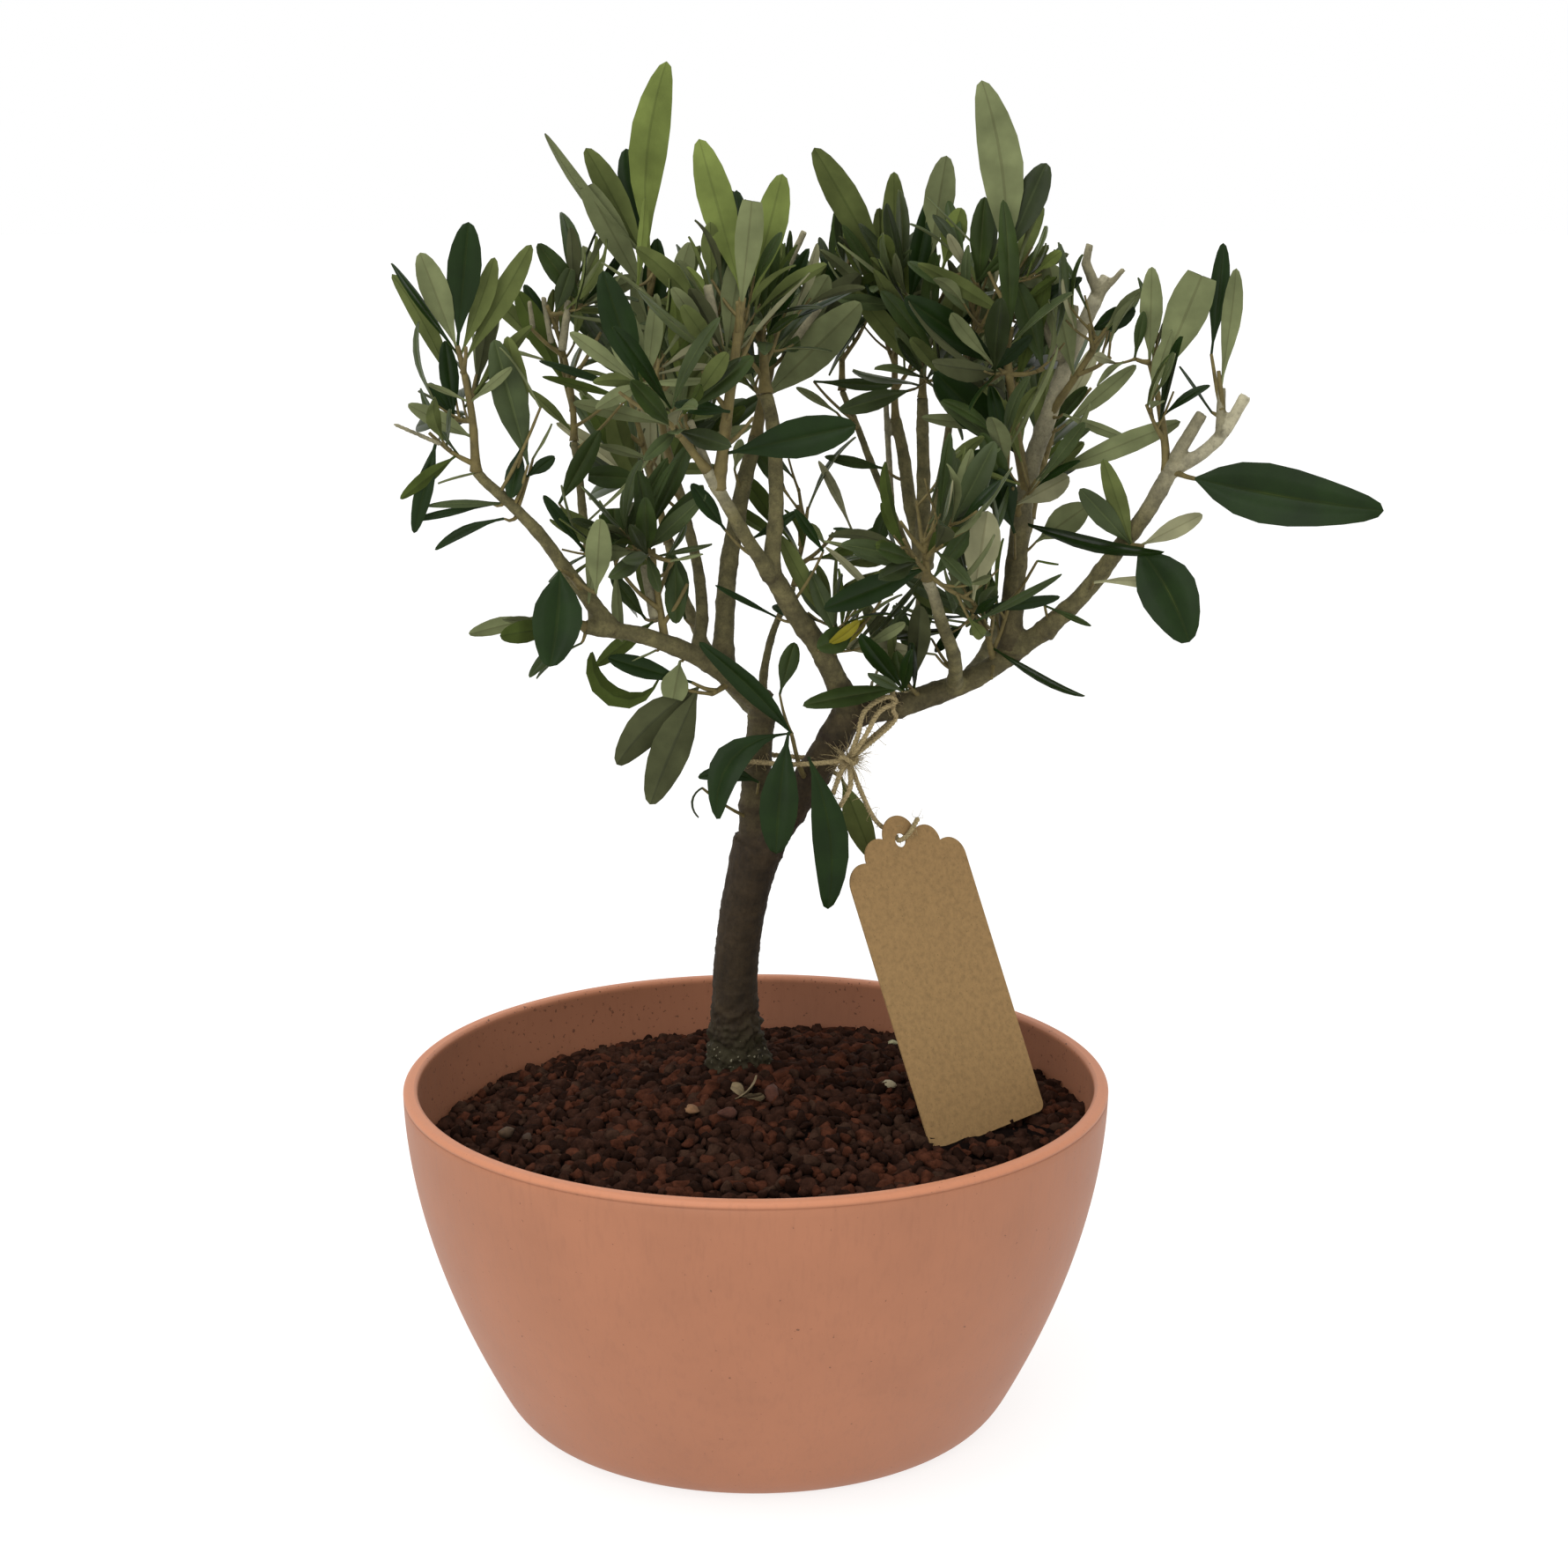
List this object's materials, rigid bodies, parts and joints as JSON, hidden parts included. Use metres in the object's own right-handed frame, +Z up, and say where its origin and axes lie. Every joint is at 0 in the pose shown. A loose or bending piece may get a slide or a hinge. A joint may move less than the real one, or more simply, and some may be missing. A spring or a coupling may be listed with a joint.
{
  "type": "potted olive bonsai",
  "caption": "Small olive tree trained as a bonsai, two stems from one trunk and an open leafy crown, in a round low plastic pot of lava gravel with a scalloped card tag tied on with twine.",
  "frame": {"origin": "centre of the pot's flat underside", "axes": "+Z up the trunk, -Y towards the side that the tag faces, +X to the right seen from there"},
  "size_m": [0.273, 0.2123, 0.39],
  "materials": {
    "plastic": "matte salmon terracotta-coloured plastic",
    "gravel": "rough red-brown lava granules",
    "bark": "rough grey-brown olive bark",
    "foliage": "leathery grey-green leaves, satin above and matt below",
    "kraft": "plain brown kraft card",
    "jute": "pale twisted jute twine"
  },
  "bodies": {
    "root": {"pot": "plastic", "gravel": "gravel", "kraft_tag": "kraft", "twine": "jute", "trunk": "bark", "left_stem": "bark", "right_stem": "bark", "left_bough": "bark", "left_outer_bough": "bark", "left_inner_bough": "bark", "left_back_bough": "bark", "left_upright": "bark", "thin_bough": "bark", "cross_bough": "bark", "cross_upright": "bark", "cross_front_bough": "bark", "right_bough": "bark", "right_outer_bough": "bark", "right_tip_fork": "bark", "tall_bough": "bark", "back_bough": "bark", "back_first_upright": "bark", "back_second_upright": "bark", "back_third_upright": "bark", "back_far_upright": "bark", "front_bough": "bark", "rear_left_bough": "bark", "rear_right_bough": "bark", "top_left_spray": "foliage", "left_tip_spray": "foliage", "left_inner_spray": "foliage", "left_low_spray": "foliage", "left_front_spray": "foliage", "front_left_spray": "foliage", "centre_spray": "foliage", "cross_top_spray": "foliage", "centre_back_spray": "foliage", "left_hanging_spray": "foliage", "left_middle_spray": "foliage", "fork_spray": "foliage", "stem_side_spray": "foliage", "far_back_spray": "foliage", "middle_spray": "foliage", "middle_right_spray": "foliage", "inner_right_spray": "foliage", "tall_left_spray": "foliage", "tall_low_spray": "foliage", "tall_tip_spray": "foliage", "right_tip_spray": "foliage", "right_edge_spray": "foliage", "right_far_spray": "foliage", "right_low_spray": "foliage", "right_inner_spray": "foliage", "front_spray": "foliage", "right_foot_spray": "foliage", "cross_low_spray": "foliage", "thin_bough_spray": "foliage", "rear_left_spray": "foliage", "rear_right_spray": "foliage"}
  },
  "joints": []
}
